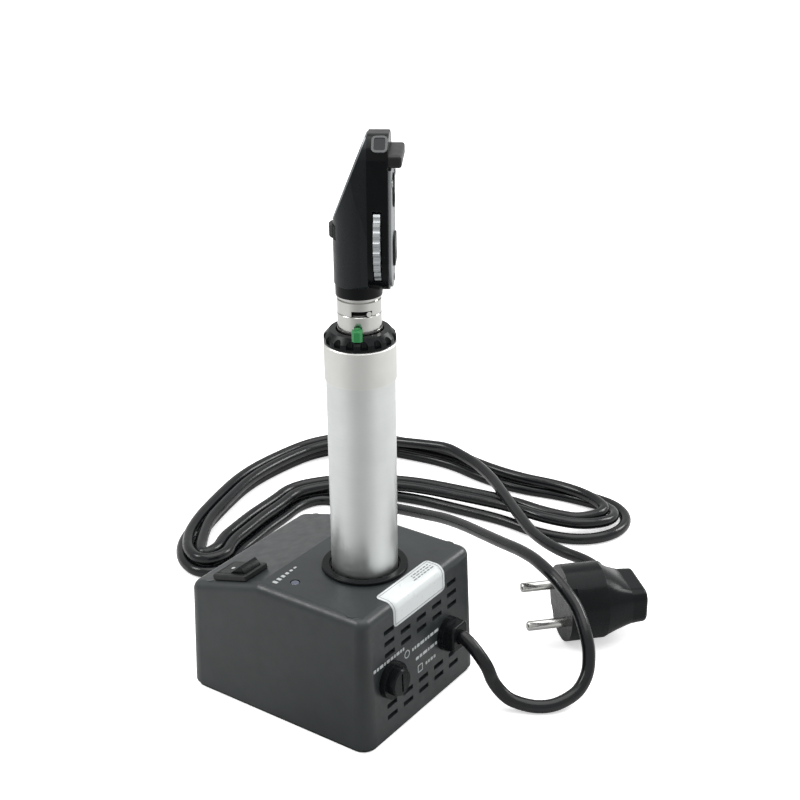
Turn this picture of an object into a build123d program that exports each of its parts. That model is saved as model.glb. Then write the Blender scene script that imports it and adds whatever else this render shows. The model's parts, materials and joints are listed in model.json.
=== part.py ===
from build123d import *

import os
from math import atan2, cos, degrees, radians, sin, sqrt, tan

os.makedirs("parts", exist_ok=True)

# ---------------------------------------------------------------------------------------------
# Driving dimensions, millimetres and degrees.
# Row frame: origin on the ground under the middle of the charging base, +Z up, -Y the front of
# the base (rocker switch end), +Y its rear panel (vents, fuse, cord).
# ---------------------------------------------------------------------------------------------
gap = 0.05  # running or assembly clearance between fitted surfaces

# Charging base
base_width = 89.0
base_length = 104.0
base_height = 65.4
front_height = 53.2
slope_run = 42.1
draft = 2.0
corner_r = 7.4
crown_r = 4.5
wall = 2.5
skirt_gap = 2.0
slope_angle = degrees(atan2(base_height - front_height, slope_run))
ridge_y = slope_run - base_length / 2
boss_r = 3.6
boss_inset_x = 8.2
boss_inset_y = 12.0
screw_r = 1.4
foot_r = 5.5
foot_inset_x = 25.0
foot_inset_y = 10.0
plate_thick = 3.2

# Vents of the rear panel
vent_pitch = 12.3
vent_length = 7.5
vent_height = 2.3
vent_low_rows = (11.3, 17.1)
vent_high_rows = (42.9, 48.6)
vent_corner_row = 54.2

# Charging well and its trim ring
well_y = 19.4
well_r = 15.55
well_wall = 1.6
well_floor = 30.4
ring_inner_r = 16.0
ring_outer_r = 19.6
ring_rise = 1.4

# Rocker switch on the sloping front
switch_x = 31.5
switch_down = 18.4
bezel_width = 15.5
bezel_length = 21.0
bezel_rise = 2.8
rocker_width = 10.6
rocker_half = 7.6
rocker_vertex = 3.0
rocker_tilt = 13.0
pivot_r = 1.0

# Rear panel fittings, centres as X and height
fuse_x = 25.0
fuse_z = 30.0
gland_x = -20.0
gland_z = 30.0

# Handle
turn = 31.7  # the instrument stands turned by this angle in its well
tube_r = 15.0
tube_wall = 1.2
tube_top = 157.8
collar_r = 15.6
collar_top = 174.4
cap_flange = 2.2
neck_r = 9.45
neck_bore = 6.6
neck_top = 187.8

# Rheostat ring and its lock button
grip_bottom = 174.6
grip_shoulder = 177.2
grip_top = 180.0
grip_r = 15.5
grip_top_r = 13.0
grip_bore = 10.3
flute_count = 16
button_width = 4.5
button_inner = 10.55
button_outer = 14.9

# Head, in its own side view: u runs towards the examiner, z up
socket_bottom = 187.9
socket_top = 195.5
head_bottom = 201.0
head_top = 263.9
slope_foot_u = -9.8
slope_foot_z = 228.0
slope_top_u = 5.0
cover_front_u = -10.4
seam_u = 4.9
housing_rear_u = 13.6
housing_half = 15.0
housing_bottom = 198.0
housing_top_half = 12.8
shoulder_r = 10.0
plate_skin = 1.1
cover_wall = 1.5
cover_corner_r = 3.5
head_collar_r = 9.9
spigot_r = 7.0
brow_z = 254.3

# Lens dial and aperture wheel
dial_z = 220.3
dial_r = 19.1
dial_front_u = 7.6
dial_thick = 2.7
scallop_count = 30
lens_circle = 16.2
lens_count = 20
lens_r = 1.7
wheel_z = 220.8
wheel_height = 5.2
wheel_u = -4.7
wheel_r = 7.2
barrel_r = 6.5
barrel_bore = 5.0

# Mains cord and plug
cord_r = 3.05
plug_r = 18.9
plug_deep = 19.0
grip_deep = 40.0
pin_r = 2.4
pin_length = 19.0
pin_root_r = 1.9
pin_spacing = 19.0

# ---------------------------------------------------------------------------------------------
# Working planes
# ---------------------------------------------------------------------------------------------
facet = Plane(
    origin=(0, ridge_y, base_height),
    x_dir=(1, 0, 0),
    z_dir=(0, -sin(radians(slope_angle)), cos(radians(slope_angle))),
)
rear = Plane(
    origin=(0, base_length / 2, 0),
    x_dir=(-1, 0, 0),
    z_dir=(0, cos(radians(draft)), sin(radians(draft))),
)
well = Plane(origin=(0, well_y, 0))
well_axis = Axis((0, well_y, 0), (0, 0, 1))
lateral = (cos(radians(turn)), sin(radians(turn)), 0)
forward = (-sin(radians(turn)), cos(radians(turn)), 0)
level = Plane(origin=(0, well_y, 0), x_dir=lateral, z_dir=(0, 0, 1))
side = Plane(origin=(0, well_y, 0), x_dir=forward, z_dir=lateral)
face = Plane(origin=(0, well_y, 0), x_dir=(-lateral[0], -lateral[1], 0), z_dir=forward)


def write(piece, name):
    """Label one finished sub-part and write its STEP file."""
    piece.part.label = name
    export_step(piece.part, f"parts/{name}.step")


def ring_sketch(outer_r, inner_r):
    """Flat ring on the current sketch plane."""
    Circle(outer_r)
    Circle(inner_r, mode=Mode.SUBTRACT)


def disc_stack(base_plane, *steps):
    """Coaxial discs or tubes; each step is (bottom, top, outer radius, inner radius or 0)."""
    with BuildPart() as stack:
        for bottom, top, outer_r, inner_r in steps:
            with BuildSketch(base_plane.offset(bottom)):
                Circle(outer_r)
                if inner_r:
                    Circle(inner_r, mode=Mode.SUBTRACT)
            extrude(amount=top - bottom)
    return stack


# ---------------------------------------------------------------------------------------------
# Charging base: housing
# ---------------------------------------------------------------------------------------------
def sloped_block(inset, bottom):
    """Drafted block with a sloping front top, standing `inset` inside the housing's outside."""
    with BuildPart() as block:
        with BuildSketch(Plane.XY.offset(bottom)):
            lost = inset + bottom * tan(radians(draft))
            RectangleRounded(base_width - 2 * lost, base_length - 2 * lost, corner_r - lost)
        extrude(amount=base_height - inset - bottom, taper=draft)
        with BuildSketch(Plane.YZ):
            drop = inset / cos(radians(slope_angle))
            crest = base_height - drop
            low = crest - base_length * (base_height - front_height) / slope_run
            with BuildLine():
                Polyline(
                    (ridge_y, crest),
                    (ridge_y - base_length, low),
                    (ridge_y - base_length, base_height + base_length),
                    (ridge_y, base_height + base_length),
                    close=True,
                )
            make_face()
        extrude(amount=base_width, both=True, mode=Mode.SUBTRACT)
    return block


outside = sloped_block(0, skirt_gap)
inside = sloped_block(wall, skirt_gap)
boss_places = GridLocations(base_width - 2 * boss_inset_x, base_length - 2 * boss_inset_y, 2, 2)
switch_spot = Location((switch_x, -switch_down, 0))

with BuildPart() as base_housing:
    add(outside.part)
    crown = base_housing.faces().filter_by(lambda f: f.normal_at().Z > 0.5).edges()
    ridge = base_housing.edges().filter_by(Axis.X).filter_by(
        lambda e: abs(e.center().Y - ridge_y) < 0.1 and abs(e.center().Z - base_height) < 0.1
    )
    fillet([edge for edge in crown if edge not in ridge], crown_r)
    add(inside.part, mode=Mode.SUBTRACT)
    # Screw bosses that hang from the inside of the roof
    with BuildSketch(Plane.XY.offset(plate_thick + 0.8)):
        with boss_places:
            Circle(boss_r)
    bosses = extrude(amount=base_height, mode=Mode.PRIVATE)
    add(bosses & outside.part)
    with BuildSketch(Plane.XY.offset(skirt_gap)):
        with boss_places:
            Circle(screw_r)
    extrude(amount=18, mode=Mode.SUBTRACT)
    # Opening for the charging well
    with BuildSketch(well.offset(base_height - 2 * wall)):
        Circle(well_r + well_wall + gap)
    extrude(amount=3 * wall, mode=Mode.SUBTRACT)
    # Rocker switch cut-out
    with BuildSketch(facet.offset(-2 * wall)):
        with Locations(switch_spot):
            Rectangle(bezel_width - 1.8, bezel_length - 1.3)
    extrude(amount=4 * wall, mode=Mode.SUBTRACT)
    # Charge lamp hole
    with BuildSketch(Plane.XY.offset(base_height - 2 * wall)):
        with Locations((30, 3)):
            Circle(2.3)
    extrude(amount=3 * wall, mode=Mode.SUBTRACT)
    # Vents, fuse and cord holes of the rear panel
    with BuildSketch(rear.offset(-2 * wall)):
        for row in vent_low_rows + vent_high_rows:
            with Locations((0, row)):
                with GridLocations(vent_pitch, vent_pitch, 5, 1):
                    RectangleRounded(vent_length, vent_height, 0.4)
        with Locations((-2 * vent_pitch, vent_corner_row), (2 * vent_pitch, vent_corner_row)):
            RectangleRounded(vent_length, vent_height, 0.4)
        with Locations((-fuse_x, fuse_z)):
            Circle(6.1)
        with Locations((-gland_x, gland_z)):
            Circle(6.1)
    extrude(amount=3 * wall, mode=Mode.SUBTRACT)

# Bottom plate with recesses for the feet and countersunk screw holes
foot_places = GridLocations(base_width - 2 * foot_inset_x, base_length - 2 * foot_inset_y, 2, 2)
with BuildPart() as bottom_plate:
    with BuildSketch(Plane.XY):
        RectangleRounded(base_width - 2.4, base_length - 2.4, corner_r - 1)
    extrude(amount=skirt_gap - 0.1, taper=-draft / 2)
    with BuildSketch(Plane.XY.offset(skirt_gap - 0.1)):
        RectangleRounded(base_width - 2 * wall - 1.0, base_length - 2 * wall - 1.0, corner_r - 1)
    extrude(amount=plate_thick + 0.7 - skirt_gap)
    with BuildSketch(Plane.XY):
        with foot_places:
            Circle(foot_r + gap)
    extrude(amount=1.5, mode=Mode.SUBTRACT)
    with Locations(Plane(origin=(0, 0, 0), z_dir=(0, 0, -1))):
        with boss_places:
            CounterSinkHole(screw_r + gap, 3.0, plate_thick + 2)
    # posts of the circuit board
    with BuildSketch(Plane.XY.offset(plate_thick + 0.5)):
        with Locations((0, 14)):
            with GridLocations(54, 36, 2, 2):
                ring_sketch(2.8, 1.2)
    extrude(amount=9 - plate_thick - 0.5)

with BuildPart() as rubber_feet:
    with BuildSketch(Plane.XY):
        with foot_places:
            Circle(foot_r)
    extrude(amount=1.5)
    chamfer(rubber_feet.faces().sort_by(Axis.Z)[:4].edges(), 0.4)

with BuildPart() as base_screws:
    with BuildSketch(Plane.XY.offset(0.1)):
        with boss_places:
            Circle(2.8)
    extrude(amount=2.8 - screw_r, taper=45)
    with BuildSketch(Plane.XY.offset(1.4)):
        with boss_places:
            Circle(screw_r - 0.02)
    extrude(amount=12)
    with BuildSketch(Plane.XY.offset(0.1)):
        with boss_places:
            Rectangle(3.2, 0.7)
            Rectangle(0.7, 3.2)
    extrude(amount=1.0, mode=Mode.SUBTRACT)

# ---------------------------------------------------------------------------------------------
# Charging well, its trim ring and the sprung centre contact
# ---------------------------------------------------------------------------------------------
well_outer = well_r + well_wall
charging_well = disc_stack(
    well,
    (well_floor - 2, well_floor, well_outer, 2.6),
    (well_floor, base_height + 0.2, well_outer, well_r),
    (base_height - wall - 2.5, base_height - wall - 0.6, well_outer + 3, well_outer - 0.2),
    (well_floor - 10, well_floor - 2, 5.0, 3.4),
    (well_floor - 11, well_floor - 10, 5.0, 0),
)

with BuildPart() as well_ring:
    with BuildSketch(well.offset(base_height + 0.25)):
        ring_sketch(ring_outer_r, ring_inner_r)
    extrude(amount=ring_rise)
    fillet(well_ring.edges().group_by(Axis.Z)[-1], 0.6)

well_contact = disc_stack(
    well,
    (well_floor - 5.4, well_floor - 4.6, 3.3, 0),
    (well_floor - 4.6, well_floor - 0.3, 2.5, 0),
)


def coil_spring(centre, coil_r, wire_r, bottom, height, turns):
    """Open coil spring on a vertical axis through `centre`."""
    foot = (centre.origin.X, centre.origin.Y, bottom)
    with BuildPart() as spring:
        with BuildLine():
            wire = Helix(pitch=height / turns, height=height, radius=coil_r, center=foot)
        with BuildSketch(Plane(origin=wire @ 0, z_dir=wire % 0)):
            Circle(wire_r)
        sweep(path=wire, is_frenet=True)
    return spring


contact_spring = coil_spring(well, 2.4, 0.35, well_floor - 9.6, 3.6, 3)

# ---------------------------------------------------------------------------------------------
# Rocker switch
# ---------------------------------------------------------------------------------------------
rocker_reach = sqrt(rocker_half**2 + (rocker_vertex + rocker_half * tan(radians(rocker_tilt))) ** 2)
opening_length = 2 * rocker_reach + 0.3

pivot_plane = Plane(
    origin=facet.from_local_coords(Vector(switch_x, -switch_down, 0)),
    x_dir=facet.y_dir,
    z_dir=(1, 0, 0),
)

with BuildPart() as rocker_pivot:
    with BuildSketch(pivot_plane.offset(-bezel_width / 2 + 1.6)):
        Circle(pivot_r)
    extrude(amount=bezel_width - 3.2)

with BuildPart() as switch_frame:
    with BuildSketch(facet.offset(gap)):
        with Locations(switch_spot):
            RectangleRounded(bezel_width, bezel_length, 1.0)
    extrude(amount=bezel_rise)
    chamfer(switch_frame.faces().sort_by(Axis.Z)[-1].edges(), 0.5)
    with BuildSketch(facet.offset(gap)):
        with Locations(switch_spot):
            Rectangle(bezel_width - 2.0, bezel_length - 1.5)
    extrude(amount=-15)
    with BuildSketch(facet.offset(bezel_rise + 1)):
        with Locations(switch_spot):
            Rectangle(rocker_width + 0.4, opening_length)
    extrude(amount=-(bezel_rise + 11), mode=Mode.SUBTRACT)
    add(rocker_pivot.part, mode=Mode.SUBTRACT)

rocker_foot = -2.4
with BuildPart() as switch_rocker:
    tilt_spot = Location((0, 0, -rocker_width / 2), (0, 0, rocker_tilt))
    with BuildSketch(Plane(pivot_plane.location * tilt_spot)):
        Circle(rocker_reach)
        crest = rocker_vertex + rocker_reach * tan(radians(rocker_tilt))
        with BuildLine():
            Polyline(
                (-rocker_reach, rocker_foot),
                (-rocker_reach, crest),
                (0, rocker_vertex),
                (rocker_reach, crest),
                (rocker_reach, rocker_foot),
                close=True,
            )
        make_face(mode=Mode.INTERSECT)
        Circle(pivot_r + gap, mode=Mode.SUBTRACT)
    extrude(amount=rocker_width)

with BuildPart() as switch_terminals:
    with BuildSketch(facet.offset(-15)):
        with Locations(switch_spot):
            with GridLocations(6, 7, 1, 2):
                Rectangle(4.8, 0.8)
    extrude(amount=-6)

with BuildPart() as charge_lamp:
    with BuildSketch(Plane.XY.offset(base_height - wall - 3)):
        with Locations((30, 3)):
            Circle(2.2)
    extrude(amount=wall + 3)
    with BuildSketch(Plane.XY.offset(base_height - wall - 4)):
        with Locations((30, 3)):
            Circle(2.9)
    extrude(amount=1)
    fillet(charge_lamp.edges().group_by(Axis.Z)[-1], 0.9)

# ---------------------------------------------------------------------------------------------
# Fuse holder with its slotted cap and glass fuse, on the rear panel
# ---------------------------------------------------------------------------------------------
fuse_plane = Plane(
    origin=rear.from_local_coords(Vector(-fuse_x, fuse_z, 0)), x_dir=(-1, 0, 0), z_dir=rear.z_dir
)
fuse_holder = disc_stack(
    fuse_plane,
    (gap, 3.0, 8.6, 5.2),
    (-20, gap, 6.0, 5.2),
    (-22, -20, 6.0, 0),
    (-9, -6, 7.4, 5.9),
)
with BuildPart() as fuse_cap:
    with BuildSketch(fuse_plane.offset(3.1)):
        Circle(6.4)
    extrude(amount=3.4)
    chamfer(fuse_cap.edges().group_by(Axis.Y)[-1], 0.6)
    with BuildSketch(fuse_plane.offset(5.4)):
        Rectangle(1.1, 9.0)
    extrude(amount=2, mode=Mode.SUBTRACT)
    with BuildSketch(fuse_plane.offset(3.1)):
        ring_sketch(5.1, 2.7)
    extrude(amount=-7)

glass_fuse = disc_stack(
    fuse_plane,
    (-19.5, -14.5, 2.55, 0),
    (-14.5, -1.5, 2.2, 0),
    (-1.5, 3.0, 2.55, 0),
)

# ---------------------------------------------------------------------------------------------
# Cord gland, mains cord and moulded plug
# ---------------------------------------------------------------------------------------------
gland_plane = Plane(
    origin=rear.from_local_coords(Vector(-gland_x, gland_z, 0)), x_dir=(-1, 0, 0), z_dir=rear.z_dir
)
with BuildPart() as cable_gland:
    with BuildSketch(gland_plane.offset(gap)):
        Circle(8.2)
    extrude(amount=2.6)
    with BuildSketch(gland_plane.offset(2.6)):
        RectangleRounded(12.5, 13.5, 3.0)
    extrude(amount=4.8, taper=3)
    fillet(cable_gland.edges().group_by(Axis.Y)[-1], 1.0)
    with BuildSketch(gland_plane.offset(gap)):
        Circle(6.0)
    extrude(amount=-11)
    with BuildSketch(gland_plane.offset(-12)):
        Circle(cord_r + 0.4)
    extrude(amount=24, mode=Mode.SUBTRACT)

# Plug frame: z along the pins, x along the cord's side entry
plug_centre = Vector(-88.4, 73.0, plug_r + 0.2)
pin_heading = Vector(0.72, -0.69, 0)
plug = Plane(origin=plug_centre, x_dir=(-0.69, -0.72, 0.0), z_dir=pin_heading)
pin_lean = 41.4  # the pair of pins leans this far from the plug's side-entry direction

# One turn of the coiled cord, as a loop laid on the floor behind the base
loop = [
    (-131, -118), (-98, -119), (-65, -115), (-38, -111), (-41, -131), (-77, -151),
    (-141, -163), (-198, -146), (-218, -91), (-214, -33), (-221, 11), (-215, 39),
    (-194, 45), (-176, 27), (-173, -22), (-160, -82),
]
layer = 2 * cord_r + 0.2
# Sideways shift (inwards positive) and height in layers, by turns along the coil
shift_keys = [
    (0.0, -3.5), (0.85, -3.5), (1.0, 3.5), (1.85, 3.5), (2.0, 0.0), (2.55, 0.0),
    (2.7, 10.0), (2.85, 10.0), (3.0, 7.0), (4.0, 7.0),
]
layer_keys = [(0.0, 0.0), (1.62, 0.0), (1.8, 1.0), (4.0, 1.0)]
coil_steps = 3 * len(loop) + 8


def between(keys, t):
    """Straight-line value at t between (t, value) keys."""
    for (t0, v0), (t1, v1) in zip(keys, keys[1:]):
        if t <= t1:
            return v0 + (v1 - v0) * (t - t0) / (t1 - t0)
    return keys[-1][1]


def coil_point(step):
    """Centre-line point of the coil after `step` loop points."""
    count = len(loop)
    here, before, after = (Vector(*loop[(step + d) % count]) for d in (0, -1, 1))
    along = (after - before).normalized()
    inward = Vector(-along.Y, along.X) * -1
    spot = here + inward * between(shift_keys, step / count)
    return (spot.X, spot.Y, cord_r + layer * between(layer_keys, step / count))


# From the gland down to the floor, up in an arch beside the plug, and down to the coil
lead_in = [gland_plane.from_local_coords(Vector(0, 0, out)) for out in (-14, 5, 10)]
lead_in += [
    (-19, 72, 22), (-20, 78, 11), (-22, 86, 5), (-29, 99, cord_r), (-40, 107, 6),
    (-48, 109, 12), (-54, 107, 20), (-59, 102, 28), (-65, 94, 35), (-69, 85, 40),
    (-75, 73, 43), (-85, 56, 42), (-100, 29, 35), (-125, -15, 22), (-138, -46, 12),
    (-144, -72, 5.5), (-140, -97, cord_r),
]
over_coil = cord_r + 2 * layer
lead_out = [
    (-211, -81, over_coil), (-206, -56, over_coil), (-194, -34, over_coil),
    (-178, -14, over_coil), (-162, 5, over_coil), (-148, 23, over_coil), (-138, 42, 17),
]
lead_out += [plug.from_local_coords(Vector(reach, 0, -26)) for reach in (34, 25, 12)]
cord_points = lead_in + [coil_point(step) for step in range(coil_steps)] + lead_out

centre_line = [Vector(*point) for point in cord_points]


def heading(index):
    """Direction of the cord at one centre-line point."""
    ahead = centre_line[min(index + 1, len(centre_line) - 1)]
    behind = centre_line[max(index - 1, 0)]
    return (ahead - behind).normalized()


def arc_joint(start, leaving, end, arriving):
    """Meeting point and direction of two arcs that join start to end smoothly."""
    chord = end - start
    both = leaving + arriving
    square = 2 * (1 - leaving.dot(arriving))
    reach = chord.dot(chord) / (2 * chord.dot(both))
    if square > 1e-9:
        slope = chord.dot(both)
        reach = (-slope + sqrt(slope**2 + square * chord.dot(chord))) / square
    near = start + leaving * reach
    far = end - arriving * reach
    return (near + far) * 0.5, (far - near).normalized()


# The cord is a chain of tangent arcs; their skins are sewn into one solid
stretches = []
for index in range(len(centre_line) - 1):
    start, end = centre_line[index], centre_line[index + 1]
    middle, middle_heading = arc_joint(start, heading(index), end, heading(index + 1))
    stretches.append((start, heading(index), middle))
    stretches.append((middle, middle_heading, end))

skin = []
for start, leaving, end in stretches:
    bent = (end - start).normalized().dot(leaving) < 1 - 1e-7
    path = TangentArc(start, end, tangent=leaving) if bent else Line(start, end)
    with BuildPart() as stretch:
        with BuildSketch(Plane(origin=start, z_dir=leaving)):
            Circle(cord_r)
        sweep(path=path)
    skin += stretch.faces()
rims = ShapeList(skin).filter_by(GeomType.PLANE)
tube = [wall_face for wall_face in skin if wall_face.geom_type != GeomType.PLANE]
ends = [rims.sort_by_distance(centre_line[index])[0] for index in (0, -1)]
with BuildPart() as power_cord:
    add(Solid(Shell(tube + ends)))

with BuildPart() as plug_body:
    with BuildSketch(plug):
        Circle(plug_r)
    extrude(amount=-plug_deep)
    with BuildSketch(plug.offset(-plug_deep)):
        Circle(plug_r)
    with BuildSketch(plug.offset(-grip_deep + 8)):
        RectangleRounded(30, 19, 6)
    loft()
    with BuildSketch(plug.offset(-grip_deep + 8)):
        RectangleRounded(30, 19, 6)
    extrude(amount=-8, taper=4)
    fillet(plug_body.faces().sort_by(Axis(plug.origin, plug.z_dir))[0].edges(), 2.0)
    boot = Plane(origin=plug.from_local_coords(Vector(0, 0, -26)), z_dir=plug.x_dir)
    with BuildSketch(boot):
        Circle(7.2)
    extrude(amount=plug_r + 10, taper=5)
    # guide grooves and earth clip seats on the rim
    with BuildSketch(plug.offset(gap)):
        with PolarLocations(plug_r + 0.6, 2, pin_lean):
            RectangleRounded(3.0, 5.6, 1.0)
    extrude(amount=-4, mode=Mode.SUBTRACT)
    # way for the cord
    with BuildSketch(boot.offset(plug_r - 8)):
        Circle(cord_r + 0.45)
    extrude(amount=30, mode=Mode.SUBTRACT)
    # seats of the earth clips
    with BuildSketch(plug.offset(gap)):
        with PolarLocations(plug_r - 1.9, 2, pin_lean):
            Rectangle(1.0, 4.5)
    extrude(amount=-12, mode=Mode.SUBTRACT)
    # sockets of the two pins
    with BuildSketch(plug.offset(gap)):
        with PolarLocations(pin_spacing / 2, 2, pin_lean + 90):
            Circle(pin_root_r)
    extrude(amount=-10, mode=Mode.SUBTRACT)

with BuildPart() as plug_pins:
    with BuildSketch(plug.offset(-10 + gap)):
        with PolarLocations(pin_spacing / 2, 2, pin_lean + 90):
            Circle(pin_root_r)
    extrude(amount=10)
    with BuildSketch(plug.offset(gap)):
        with PolarLocations(pin_spacing / 2, 2, pin_lean + 90):
            Circle(pin_r)
    extrude(amount=pin_length)
    fillet(plug_pins.faces().sort_by(Axis(plug.origin, plug.z_dir))[-2:].edges(), 1.2)

with BuildPart() as earth_clips:
    with BuildSketch(plug.offset(-11)):
        with PolarLocations(plug_r - 1.9, 2, pin_lean):
            Rectangle(0.9, 4.4)
    extrude(amount=10)

# ---------------------------------------------------------------------------------------------
# Inside the base: transformer, board and board parts
# ---------------------------------------------------------------------------------------------
core_plane = Plane(origin=(-11, -36, 22.5), x_dir=(1, 0, 0), z_dir=(0, 1, 0))
with BuildPart() as transformer_core:
    with BuildSketch(core_plane):
        Rectangle(42, 35)
        with Locations((-10.5, 0), (10.5, 0)):
            Rectangle(7, 21, mode=Mode.SUBTRACT)
    extrude(amount=16)

with BuildPart() as transformer_coil:
    with BuildSketch(Plane(origin=(-11, -28, 22.5))):
        RectangleRounded(27.6, 29, 3)
        Rectangle(14.2, 16.2, mode=Mode.SUBTRACT)
    extrude(amount=10.2, both=True)

with BuildPart() as circuit_board:
    with BuildSketch(Plane.XY.offset(9)):
        with Locations((0, 14)):
            Rectangle(62, 44)
            with GridLocations(54, 36, 2, 2):
                Circle(1.6, mode=Mode.SUBTRACT)
    extrude(amount=1.6)

with BuildPart() as board_screws:
    with BuildSketch(Plane.XY.offset(10.6)):
        with Locations((0, 14)):
            with GridLocations(54, 36, 2, 2):
                Circle(2.5)
    extrude(amount=1.6)
    with BuildSketch(Plane.XY.offset(10.6)):
        with Locations((0, 14)):
            with GridLocations(54, 36, 2, 2):
                Circle(1.15)
    extrude(amount=-6)

filter_capacitor = disc_stack(Plane(origin=(-24, 16, 0)), (10.6, 26.6, 5.0, 0), (26.6, 27.0, 4.4, 0))

with BuildPart() as charge_regulator:
    with BuildSketch(Plane.XY.offset(10.6)):
        with Locations((24, 8)):
            Rectangle(10, 4.5)
    extrude(amount=15)
    with BuildSketch(Plane.XY.offset(10.6)):
        with Locations((24, 5.1)):
            Rectangle(10, 1.3)
    extrude(amount=19)

# Rating label: starts on the top, bends over the rear edge and ends on the rear panel
label_thick = 0.12
label_front_y = 40.0
label_foot_z = 53.4
lean = tan(radians(draft))
crown_run = crown_r * tan(radians(45 - draft / 2))
crown_start = base_length / 2 - base_height * lean - crown_run
bend_z = base_height - crown_run * cos(radians(draft))
bend_y = base_length / 2 - bend_z * lean
foot_y = base_length / 2 - label_foot_z * lean
label_lift = 0.04
with BuildPart() as rating_label:
    raised = Plane(origin=(-19, label_lift, label_lift), x_dir=(0, 1, 0), z_dir=(1, 0, 0))
    with BuildSketch(raised):
        with BuildLine():
            flat = Line((label_front_y, base_height), (crown_start, base_height))
            bend = TangentArc(flat @ 1, (bend_y, bend_z), tangent=flat % 1)
            drop = Line(bend @ 1, (foot_y, label_foot_z))
            offset([flat, bend, drop], amount=label_thick, side=Side.LEFT)
        make_face()
    extrude(amount=40)

# ---------------------------------------------------------------------------------------------
# Handle
# ---------------------------------------------------------------------------------------------
tube_bore = tube_r - tube_wall
handle_bottom = well_floor
tube_bottom = handle_bottom + cap_flange
battery_tube = disc_stack(well, (tube_bottom, tube_top, tube_r, tube_bore))

with BuildPart() as end_cap:
    with BuildSketch(well.offset(handle_bottom)):
        ring_sketch(tube_r, 4.0)
    extrude(amount=cap_flange - gap)
    chamfer(end_cap.edges().group_by(Axis.Z)[0].sort_by(SortBy.RADIUS)[-1], 0.8)
    with BuildSketch(well.offset(handle_bottom + cap_flange - gap)):
        ring_sketch(tube_bore - gap, 4.0)
    extrude(amount=8)

end_contact = disc_stack(
    well,
    (handle_bottom + 0.4, handle_bottom + 10, 3.9, 0),
    (handle_bottom + 10.2, handle_bottom + 11, 9.0, 0),
    (handle_bottom + 10, handle_bottom + 10.2, 3.0, 0),
)
battery_spring = coil_spring(well, 6.0, 0.6, handle_bottom + 11.7, 4.2, 3)
battery_cell = disc_stack(
    well,
    (handle_bottom + 16.6, handle_bottom + 86, 12.8, 0),
    (handle_bottom + 86, handle_bottom + 88, 4.0, 0),
)

with BuildPart() as charge_board:
    with BuildSketch(level.offset(handle_bottom + 90)):
        Rectangle(22, 1.4)
    extrude(amount=26)
    with BuildSketch(level.offset(handle_bottom + 94)):
        with Locations((-5, 2.9), (5, 2.9)):
            Rectangle(5, 4.4)
    extrude(amount=12)

with BuildPart() as handle_collar:
    with BuildSketch(well.offset(tube_top + gap)):
        ring_sketch(collar_r, tube_bore - 1.4)
    extrude(amount=collar_top - tube_top - 2.4)
    with BuildSketch(well.offset(tube_top - 7)):
        ring_sketch(tube_bore - gap, tube_bore - 1.4)
    extrude(amount=7 + 2 * gap)
    with BuildSketch(well.offset(collar_top - 2.4)):
        ring_sketch(collar_r, neck_r + gap)
    extrude(amount=2.4)
    chamfer(handle_collar.edges().group_by(Axis.Z)[-1].sort_by(SortBy.RADIUS)[-1], 0.7)

# Neck with its bayonet spigot and lug, fixed to the collar
lug_r = 1.15
lug_angle = radians(turn + 29.8)
lug_plane = Plane(
    origin=(0, well_y, socket_bottom + lug_r + 0.05),
    z_dir=(cos(lug_angle), sin(lug_angle), 0),
)
with BuildPart() as neck:
    with BuildSketch(well.offset(collar_top - 4.6)):
        ring_sketch(neck_r + 2.2, neck_bore)
    extrude(amount=2.1)
    with BuildSketch(well.offset(collar_top - 4.6)):
        ring_sketch(neck_r, neck_bore)
    extrude(amount=neck_top - collar_top + 4.6)
    with BuildSketch(well.offset(neck_top)):
        ring_sketch(7.4, neck_bore)
    extrude(amount=5.4)
    with BuildSketch(lug_plane.offset(spigot_r)):
        Circle(lug_r)
    extrude(amount=neck_r + 0.2 - spigot_r)
    shoulder = neck.edges().filter_by(GeomType.CIRCLE).filter_by(
        lambda e: abs(e.radius - neck_r) < 0.01 and abs(e.center().Z - neck_top) < 0.01
    )
    chamfer(shoulder, 0.25)

neck_insulator = disc_stack(
    well,
    (collar_top - 8, collar_top - 5, neck_r, 1.6),
    (collar_top - 5, neck_top + 2.6, neck_bore - gap, 1.6),
)
head_contact = disc_stack(
    well,
    (collar_top - 12, neck_top + 4.6, 1.5, 0),
)

# Rheostat ring: fluted grip with a slot for the lock button
button_floor = grip_top - 1.4
button_half = button_width / 2
with BuildPart() as rheostat_ring:
    with BuildSketch(side):
        with BuildLine():
            Polyline(
                (neck_r + 0.08, grip_bottom),
                (grip_r, grip_bottom),
                (grip_r, grip_shoulder),
                (grip_top_r, grip_top),
                (grip_bore, grip_top),
                (grip_bore, grip_shoulder),
                (neck_r + 0.08, grip_shoulder),
                close=True,
            )
        make_face()
    revolve(axis=well_axis)
    fillet(rheostat_ring.edges().filter_by(GeomType.CIRCLE).sort_by(SortBy.RADIUS)[-1], 0.4)
    with BuildSketch(level.offset(grip_bottom + 0.9)):
        with PolarLocations(grip_r + 0.1, flute_count, 360 / flute_count / 2):
            Circle(1.7)
    extrude(amount=10, mode=Mode.SUBTRACT)
    with BuildSketch(level.offset(button_floor)):
        with Locations((grip_r, 0)):
            Rectangle(2 * (grip_r - grip_bore) + 1, button_width + 0.3)
    extrude(amount=6, mode=Mode.SUBTRACT)

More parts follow.
